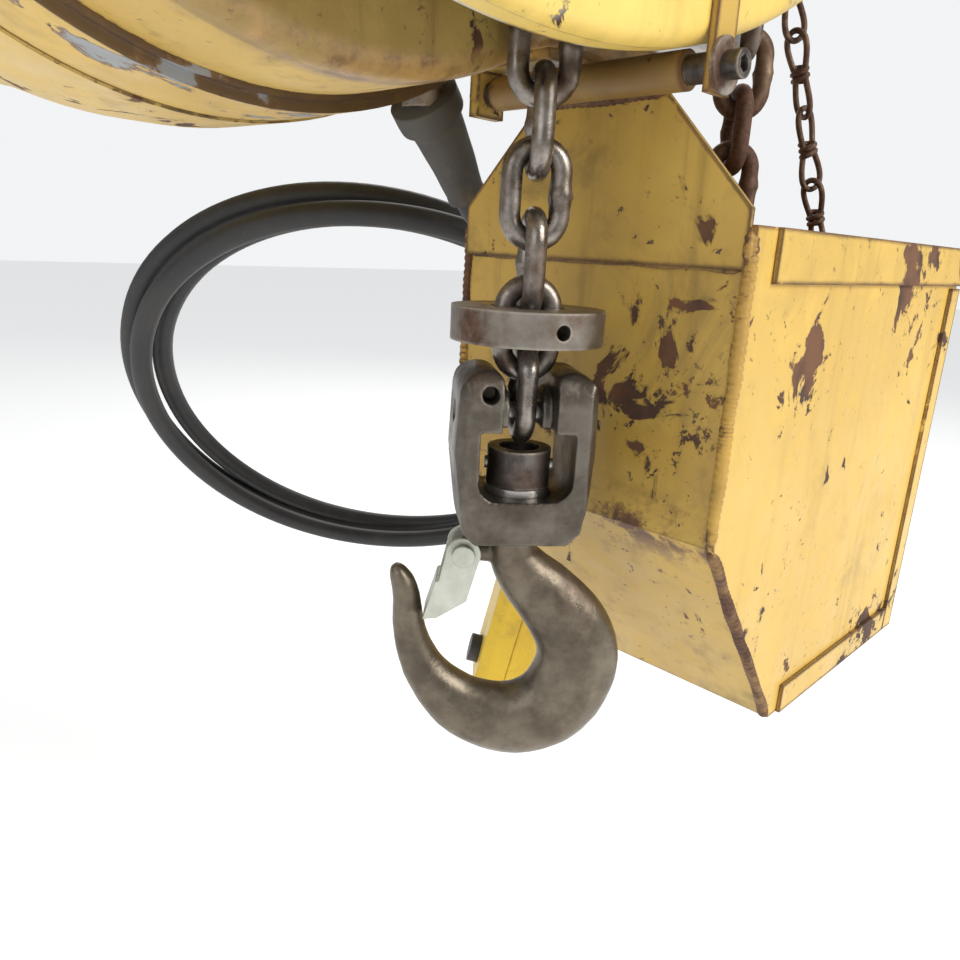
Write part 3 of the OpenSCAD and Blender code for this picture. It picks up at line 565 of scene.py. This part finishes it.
def materials():
    M = {}
    M["frame"] = painted("frame_paint", (0.46, 0.33, 0.095), (0.31, 0.205, 0.058), chips=0.5,
                         wear=0.5, dirt=0.5, rough=0.48, primer=-0.6, cast=0.8, seed=1.3,
                         rim=frame_rim, scratch=0.6, streak=0.7, freckles=0.6,
                         zones=((side_band, (0.68, 0.47, 0.13), (0.58, 0.38, 0.09)),))
    M["drum"] = painted("drum_paint", (0.68, 0.45, 0.10), (0.52, 0.33, 0.07), chips=0.8,
                        wear=0.15, dirt=0.4, primer=0.4, cast=0.15, seed=3.1, scratch=0.8,
                        patch=1.0, zones=((drum_groove, (0.13, 0.07, 0.03),
                                           (0.07, 0.04, 0.02)),))
    M["bell"] = painted("bell_paint", (0.74, 0.52, 0.155), (0.60, 0.40, 0.10), chips=0.5,
                        wear=0.3, dirt=0.35, primer=-0.6, cast=0.1, seed=5.7, scratch=1.0)
    M["cover"] = painted("cover_paint", (0.80, 0.58, 0.15), (0.71, 0.49, 0.11), chips=0.8,
                         wear=1.1, dirt=0.25, primer=0.9, seed=7.9, scratch=0.5,
                         prime=(0.52, 0.51, 0.47))
    M["box"] = painted("box_paint", (0.58, 0.375, 0.075), (0.44, 0.27, 0.052), chips=1.1,
                       wear=0.9, dirt=0.6, primer=-0.6, seed=11.2, scratch=0.7, streak=0.5,
                       freckles=1.0, zones=((crease_rust, RUST_LIGHT, RUST),))
    # painted light: a lighter copy of the box paint for the container's right side and flanges,
    # the side where the key lamp falls
    M["side"] = painted("lit_side_paint", (0.72, 0.48, 0.115), (0.62, 0.40, 0.085), chips=1.1,
                        wear=0.8, dirt=0.3, primer=-0.6, seed=13.4, scratch=0.5, streak=0.35,
                        freckles=0.6)
    M["strap"] = painted("strap_paint", (0.62, 0.41, 0.09), (0.48, 0.30, 0.06), chips=1.0,
                         wear=1.6, dirt=0.5, primer=-0.6, seed=17.0, scratch=0.6)
    M["tube"] = painted("tube_paint", (0.42, 0.27, 0.065), (0.22, 0.125, 0.038), chips=1.2,
                        wear=1.0, dirt=0.8, primer=-0.6, seed=19.0, rough=0.46, cast=0.3)
    M["weld"] = steel("weld_bead", (0.30, 0.17, 0.06), (0.11, 0.055, 0.025), rust=0.8,
                      rough=(0.42, 0.7), grain=120, metal=0.35, seed=2.2)
    M["chain"] = steel("chain_steel", (0.34, 0.31, 0.28), (0.13, 0.105, 0.085), rust=0.35,
                       rough=(0.2, 0.42), grain=110, seed=0.4)
    M["slack"] = steel("chain_rusty", (0.25, 0.17, 0.11), (0.10, 0.055, 0.03), rust=0.9,
                       rough=(0.4, 0.65), grain=110, metal=0.6, seed=4.4)
    M["lock"] = steel("wire_rusty", (0.19, 0.12, 0.08), (0.07, 0.038, 0.022), rust=0.8,
                      rough=(0.4, 0.65), grain=160, metal=0.6, seed=6.1)
    M["disc"] = steel("disc_steel", (0.28, 0.255, 0.225), (0.15, 0.12, 0.092), rust=0.6,
                      rough=(0.3, 0.5), grain=70, seed=8.3, edge_light=(0.42, 0.38, 0.32))
    M["block"] = steel("block_steel", (0.165, 0.145, 0.12), (0.072, 0.06, 0.047), rust=0.4,
                       rough=(0.3, 0.5), grain=55, seed=9.6, edge_light=(0.34, 0.31, 0.27),
                       pits=0.8)
    M["hook"] = steel("hook_steel", (0.20, 0.17, 0.125), (0.10, 0.082, 0.06), rust=0.16,
                      rough=(0.27, 0.42), grain=60, seed=12.0, edge_light=(0.4, 0.34, 0.27),
                      pits=0.9, metal=0.8)
    M["zinc"] = steel("zinc_plate", (0.58, 0.60, 0.52), (0.42, 0.43, 0.36), rust=0.12,
                      rough=(0.3, 0.48), grain=60, seed=14.0, metal=0.85)
    M["washer"] = steel("washer_steel", (0.50, 0.46, 0.40), (0.30, 0.24, 0.18), rust=0.6,
                        rough=(0.35, 0.55), grain=130, seed=15.0)
    M["dark"] = steel("dark_fastener", (0.16, 0.14, 0.125), (0.065, 0.055, 0.05), rust=0.35,
                      rough=(0.35, 0.55), grain=140, seed=16.0, edge_light=(0.42, 0.37, 0.3))
    M["turned"] = steel("turned_steel", (0.52, 0.50, 0.47), (0.36, 0.345, 0.32), rust=0.1,
                        rough=(0.2, 0.36), grain=90, seed=18.0)
    M["copper"] = steel("stator_core", (0.34, 0.30, 0.27), (0.22, 0.15, 0.10), rust=0.2,
                        rough=(0.35, 0.5), grain=60, seed=20.0)
    M["cable"] = moulded("cable_rubber", (0.014, 0.014, 0.016), (0.024, 0.023, 0.022), 0.5,
                         0.3, (0.07, 0.06, 0.045))
    M["boot"] = moulded("boot_rubber", (0.045, 0.043, 0.040), (0.075, 0.068, 0.056), 0.62,
                        0.6, (0.16, 0.12, 0.065), 0.6, 3.0)
    M["pendant"] = moulded("pendant_plastic", (0.80, 0.53, 0.024), (0.69, 0.435, 0.02), 0.38,
                           0.35, (0.20, 0.13, 0.04), 0.35, 5.0, 0.5)
    M["button"] = moulded("button_rubber", (0.03, 0.03, 0.032), (0.05, 0.048, 0.045), 0.5,
                          0.4, (0.12, 0.10, 0.07), 0.5, 7.0)
    M["fan"] = moulded("fan_plastic", (0.03, 0.03, 0.035), (0.05, 0.05, 0.05), 0.5, 0.5,
                       (0.15, 0.13, 0.1), 0.4, 9.0)
    return M


USES = {
    "frame": "gear_frame chain_housing suspension_yoke hanger_bracket",
    "drum": "motor_housing", "bell": "motor_end_bell", "cover": "chain_cover",
    "strap": "hanger_strap", "box": "container_wrap hanger_plate container_side_left",
    # the right side and flanges take the lit copy of the box paint (painted light); the left side
    # keeps the box paint
    "side": "container_side_right container_flanges", "tube": "hinge_tube",
    "dark": "cover_screws frame_bolts hinge_bolt hinge_spacers top_nut hook_nut",
    "washer": "hinge_washers gland_nut", "copper": "stator",
    "turned": "gear_plate shaft_bearings chain_guide load_wheel wheel_shaft main_gear mid_gear "
              "rotor brake_disc thrust_bearing chain_pin",
    "zinc": "hook_latch top_latch latch_rivet top_latch_rivet nut_pin latch_spring "
            "top_latch_spring",
    "chain": "load_chain wheel_chain", "slack": "slack_chain chain_pile",
    "lock": "stay_chain stay_link stay_bar", "disc": "stop_disc", "block": "hook_block",
    "hook": "load_hook top_hook", "cable": "pendant_cable cable_coil", "boot": "strain_boot",
    "pendant": "pendant_front pendant_rear", "button": "up_button down_button",
    "fan": "cooling_fan"}


# ---------------------------------------------------------------- cable
BOOT = [(-87, 20, 41), (-88, 25, 36), (-89.6, 32, 30), (-91, 38, 24), (-92.6, 45, 17),
        (-94, 51, 10), (-95, 57, 3)]
LEAD_IN = [(-95, 57, 3), (-98.2, 73.2, -11), (-101.5, 90.5, -24), (-103.8, 107.8, -35),
           (-106, 125, -45), (-107.2, 144.2, -54), (-108.5, 163.5, -62), (-109.8, 180.8, -68),
           (-111, 198, -72)]
LEAD_OUT = [(-116, 224, -96), (-119.8, 230.8, -106), (-126.5, 236.5, -117),
            (-135.2, 240.2, -128), (-144, 241, -138), (-151.8, 238.8, -149),
            (-156.5, 234.5, -161), (-158.2, 230.2, -174), (-159.4, 226.8, -190)]
COIL = (-252, 132, -136)
COIL_N = (0.56, -0.585, -0.585)
COIL_R = 0.178
CABLE_D = 0.014
EASE = 40


def cable():
    n = vec(COIL_N).normalized()
    centre = mm(*COIL)
    u = (vec((0, 0, 1)) - n * n.z).normalized()
    v = n.cross(u)

    def angle(p):
        d = p - centre
        return math.atan2(d.dot(v), d.dot(u))

    lead_in = [mm(*p) for p in LEAD_IN]
    lead_out = [mm(*p) for p in LEAD_OUT]
    a0, a1 = angle(lead_in[-1]), angle(lead_out[0])
    way = (lead_in[-1] - lead_in[-2]).dot(-u * math.sin(a0) + v * math.cos(a0))
    sign = 1 if way > 0 else -1
    total = (a1 - a0) * sign % (2 * math.pi) + 3 * 2 * math.pi
    count = 60
    turns = []
    for k in range(1, count):
        t = k / count
        a = a0 + sign * total * t
        # the turns lie side by side, with a little slack between them
        across = 0.0135 * (total / (2 * math.pi)) * (t - 0.5)
        across += 0.005 * math.sin(0.45 * total * t) * math.sin(math.pi * t)
        swing = math.sin(0.3 * total * t + 0.2) ** 2 * math.sin(math.pi * t) ** 0.6
        r = COIL_R + 0.004 - 0.027 * swing
        turns.append(centre + (u * math.cos(a) + v * math.sin(a)) * r + n * across)
    path = spline(lead_in[:-2] + turns[1:-1] + lead_out[2:], 0.008)
    # ease the bends where the leads join the coil, with both ends held
    for _ in range(EASE):
        path = path[:2] + [path[i] * 0.5 + (path[i - 1] + path[i + 1]) * 0.25
                           for i in range(2, len(path) - 2)] + path[-2:]
    return path


def cable_piece(M):
    path = cable()
    curve = bpy.data.curves.new("pendant_cord", "CURVE")
    curve.dimensions = "3D"
    curve.bevel_depth = CABLE_D / 2
    curve.bevel_resolution = 5
    curve.use_fill_caps = True
    s = curve.splines.new("POLY")
    s.points.add(len(path) - 1)
    for q, p in zip(s.points, path):
        q.co = (*p, 1)
    curve.materials.append(M["cable"])
    obj = bpy.data.objects.new("pendant_cord", curve)
    bpy.context.collection.objects.link(obj)
    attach(obj, "hoist")
    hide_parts("pendant_cable", "cable_coil")
    return obj


def boot(M):
    route = spline([mm(*p) for p in BOOT], 0.0012)
    n = len(route)

    def radius(i):
        t = i / (n - 1)
        r = 13.6 + (9.0 - 13.6) * t
        if t < 0.2:
            r = 15.6 - 6 * max(0.0, t - 0.14)
        elif t < 0.24:
            r = 13.4
        if t > 0.95:
            r = 9.5
        return r / 1000
    v, f = sweep(route, radius, 36, ref=(1, 0, 0))
    obj = add("cable_boot", v, f, M["boot"], "hoist")
    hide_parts("strain_boot")
    return obj


# ---------------------------------------------------------------- chains
def link_shape(d, inner, w, bump, seed, wear=0.4):
    """One link about the origin, its length on Z and its width on X, in metres."""
    rnd = random.Random(seed)
    r = (w - d) / 2
    s = inner - (w - 2 * d)
    path, swell, crown = [], [], []
    for side in (1, -1):
        for k in range(11):
            z = side * (s / 2 - s * k / 11)
            path.append(Vector((side * -r, 0, -z)) / 1000)
            near = math.exp(-((z * 1.0) / 2.6) ** 2) if side < 0 else 0
            swell.append(near)
            crown.append(0)
        for k in range(20):
            a = math.pi * k / 20
            path.append(Vector((-side * r * math.cos(a), 0, side * (s / 2 + r * math.sin(a))))
                        / 1000)
            swell.append(0)
            crown.append(math.sin(a) ** 3)

    def radius(i):
        return d / 2000 + bump / 1000 * swell[i]

    def shape(i, j):
        lump = 0.02 * noise.noise(path[i] * 400 + Vector((seed, j * 0.4, 0)))
        weld = 0.05 * swell[i] * rnd.uniform(-1, 1)
        return 1 + lump + weld - 0.03 * wear * crown[i]
    return sweep(path, radius, 14, closed=True, ref=(0, 1, 0), shape=shape)


def placed(shape, matrix):
    v, f = shape
    return [matrix @ p for p in v], f


def at(p, *turns):
    m = Matrix.Translation(mm(*p))
    for axis, angle in turns:
        m = m @ Matrix.Rotation(math.radians(angle), 4, axis)
    return m


def load_link(seed):
    return link_shape(7.9, 24.4, 26, 0.75, seed)


def wheel_link(seed):
    return link_shape(7.0, 26.2, 25.6, 0.3, seed)


def strand(p, n, yaw, twist, seed):
    return [placed(load_link(seed + k), at((p[0], p[1], p[2] - 24 * k),
                                           ("Z", yaw + 90 * (k % 2) + twist * k)))
            for k in range(n)]


def chains(M):
    v, f = join(strand((0, 0, 142.5), 10, 45, 0.8, 1))
    obj = add("hoist_chain", v, f, M["chain"], "lift")
    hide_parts("load_chain")
    v, f = join(strand((0, 2 * WHEEL_R, 61.2), 8, 45, 0, 31))
    obj = add("hoist_chain_slack", v, f, M["slack"], "slack_strand")
    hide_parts("slack_chain")
    parts = [placed(wheel_link(61 + k), at((0, 2 * WHEEL_R, 133.2 - 24 * k),
                                           ("Z", 45 + 90 * ((k + 1) % 2)))) for k in range(3)]
    for k in range(9):
        a = 180 - 14 - k * 20
        parts.append(placed(wheel_link(71 + k), at(
            (0, WHEEL_R + WHEEL_R * math.cos(math.radians(a)),
             150 + WHEEL_R * math.sin(math.radians(a))),
            ("X", a), ("Z", 45 + 90 * (k % 2)))))
    obj = add("hoist_chain_wheel", *join(parts), M["chain"], "hoist")
    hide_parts("wheel_chain")
    pile = [(-20, 149, 88, 20), (10, 150, 84, 100), (-34, 176, 90, 160), (24, 186, 86, 50),
            (-6, 196, 82, 80), (38, 214, 90, 10), (-44, 222, 85, 130), (6, 236, 88, 170)]
    parts = [placed(load_link(91 + k), at((x, y, -227.7), ("Z", turn), ("X", lean)))
             for k, (x, y, lean, turn) in enumerate(pile)]
    obj = add("hoist_chain_pile", *join(parts), M["slack"], "container")
    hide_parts("chain_pile")


def lock_link(length):
    """A double-loop wire link: two long eyes and the wire wrapped twice round the middle."""
    wire = 1.45
    half = length / 2 + 1.2
    loop = []
    for k in range(72):
        t = 2 * math.pi * k / 72
        z = half * math.cos(t)
        x = 7.4 * math.sin(t) * (0.42 + 0.9 * abs(math.cos(t)) ** 1.3)
        y = 0.9 * math.sin(2 * t)
        loop.append(Vector((x, y, z)) / 1000)
    parts = [sweep(loop, wire / 1000, 10, closed=True, ref=(0, 1, 0.01))]
    wrap = []
    for k in range(49):
        t = 2 * math.pi * 2.25 * k / 48
        wrap.append(Vector((3.6 * math.cos(t), 2.9 * math.sin(t), -3.4 + 6.8 * k / 48)) / 1000)
    parts.append(sweep(wrap, wire / 1000, 10))
    return join(parts)


def stay(M):
    top, low, n = vec((-8, 158, 152)), vec((14, 218, -14)), 5
    v = low - top
    aim = Matrix.Rotation(math.atan2(v.y, v.x), 4, "Z") @ Matrix.Rotation(
        math.acos(v.z / v.length), 4, "Y")
    parts = []
    for k in range(n):
        c = top + v * (k + 0.5) / n
        m = Matrix.Translation(mm(*c)) @ aim @ Matrix.Rotation(math.radians(90 * ((n - k) % 2)), 4,
                                                               "Z")
        parts.append(placed(lock_link(v.length / n + 2), m))
    obj = add("stay_wire_chain", *join(parts), M["lock"], "hoist")
    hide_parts("stay_chain")
    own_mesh(obj)


# ---------------------------------------------------------------- welds and small parts
def bead(name, a, b, r, mat, body, seed, ripple=3.2):
    """A weld bead with overlapping ripples between two points."""
    rnd = random.Random(seed)
    a, b = mm(*a), mm(*b)
    n = max(8, int((b - a).length / 0.0008))
    phase = rnd.uniform(0, 6)
    path = []
    for i in range(n + 1):
        p = a.lerp(b, i / n)
        w = noise.noise_vector(p * 70 + Vector((seed, 0, 0))) * 0.0007
        path.append(p + w)

    def radius(i):
        s = i * 0.8
        rip = abs(math.sin(math.pi * s / ripple + phase + 0.8 * noise.noise(path[i] * 120)))
        end = min(1.0, (min(i, n - i) + 1) / 5)
        size = r * (0.82 + 0.22 * rip + 0.25 * noise.noise(path[i] * 45))
        return max(0.0003, size * end / 1000)
    v, f = sweep(path, radius, 12)
    return add(name, v, f, mat, body)


def welds(M):
    x1, x0 = 65, -80
    bead("weld_front_right", (x1 - 1.4, 44.6, -10), (x1 - 1.4, 44.6, -129), 2.6,
                 M["weld_paint"], "container", 1)
    bead("weld_slope_right", (x1 - 1.4, 45, -131), (x1 - 1.4, 125.4, -237.4), 2.6,
                 M["weld"], "container", 2)
    bead("weld_front_left", (x0 + 1.4, 44.6, -10), (x0 + 1.4, 44.6, -129), 2.6,
                 M["weld_paint"], "container", 3)
    bead("weld_slope_left", (x0 + 1.4, 45, -131), (x0 + 1.4, 125.4, -237.4), 2.6,
                 M["weld"], "container", 4)
    bead("weld_tube_front", (-39, 40.7, 36.2), (24, 40.7, 36.2), 2.1, M["weld"],
                 "container", 5)
    bead("weld_plate_low", (-76, 43.1, -24), (61, 43.1, -24), 1.2, M["tube"],
                 "container", 6)
    bead("weld_plate_right", (63.6, 42.6, -22), (63.6, 42.6, -9.4), 1.9,
                 M["weld_paint"], "container", 7)


def main():
    camera()
    M = materials()
    M["weld_paint"] = painted("weld_paint", (0.52, 0.31, 0.05), (0.33, 0.18, 0.04), chips=1.4,
                              wear=0.4, dirt=0.5, primer=-0.6, seed=21.0, scratch=0.0, cast=0.6)
    cable_piece(M)
    studio()
    for key, names in USES.items():
        for name in names.split():
            mesh = NODES[name].data
            mesh.materials.clear()
            mesh.materials.append(M[key])
    boot(M)
    chains(M)
    stay(M)
    welds(M)
    hooks(M)
    for name, node, slot, voxel, rounds, key, body, rough, scale in (
            ("hook_block_forging", "hook_block", "block_steel", 0.0006, 9, "block", "lift",
             0.0002, 110),
            ("pendant_shell_front", "pendant_front", "pendant_plastic", 0.0008, 9, "pendant",
             "hoist", 0, 0),
            ("pendant_shell_rear", "pendant_rear", "pendant_plastic", 0.0008, 9, "pendant",
             "hoist", 0, 0),
            ("up_button_cap", "up_button", "button_rubber", 0.0005, 10, "button", "up_button",
             0, 0),
            ("down_button_cap", "down_button", "button_rubber", 0.0005, 10, "button",
             "down_button", 0, 0)):
        forged(name, node, voxel, rounds, M[key], body, rough, scale)
    floor = bpy.data.meshes.new("floor")
    floor.from_pydata([(-14, -14, -1.05), (14, -14, -1.05), (14, 14, -1.05), (-14, 14, -1.05)],
                      [], [(0, 1, 2, 3)])
    obj = bpy.data.objects.new("floor", floor)
    bpy.context.collection.objects.link(obj)
    m = Mat("floor_pale", 0.6)
    m.bump(m.noise(30, 3), 0.0005, 0.1)
    m.b.inputs["Emission Color"].default_value = (0.93, 0.94, 0.95, 1)
    m.b.inputs["Emission Strength"].default_value = 0.47
    floor.materials.append(m.done((0.80, 0.80, 0.80)))


main()
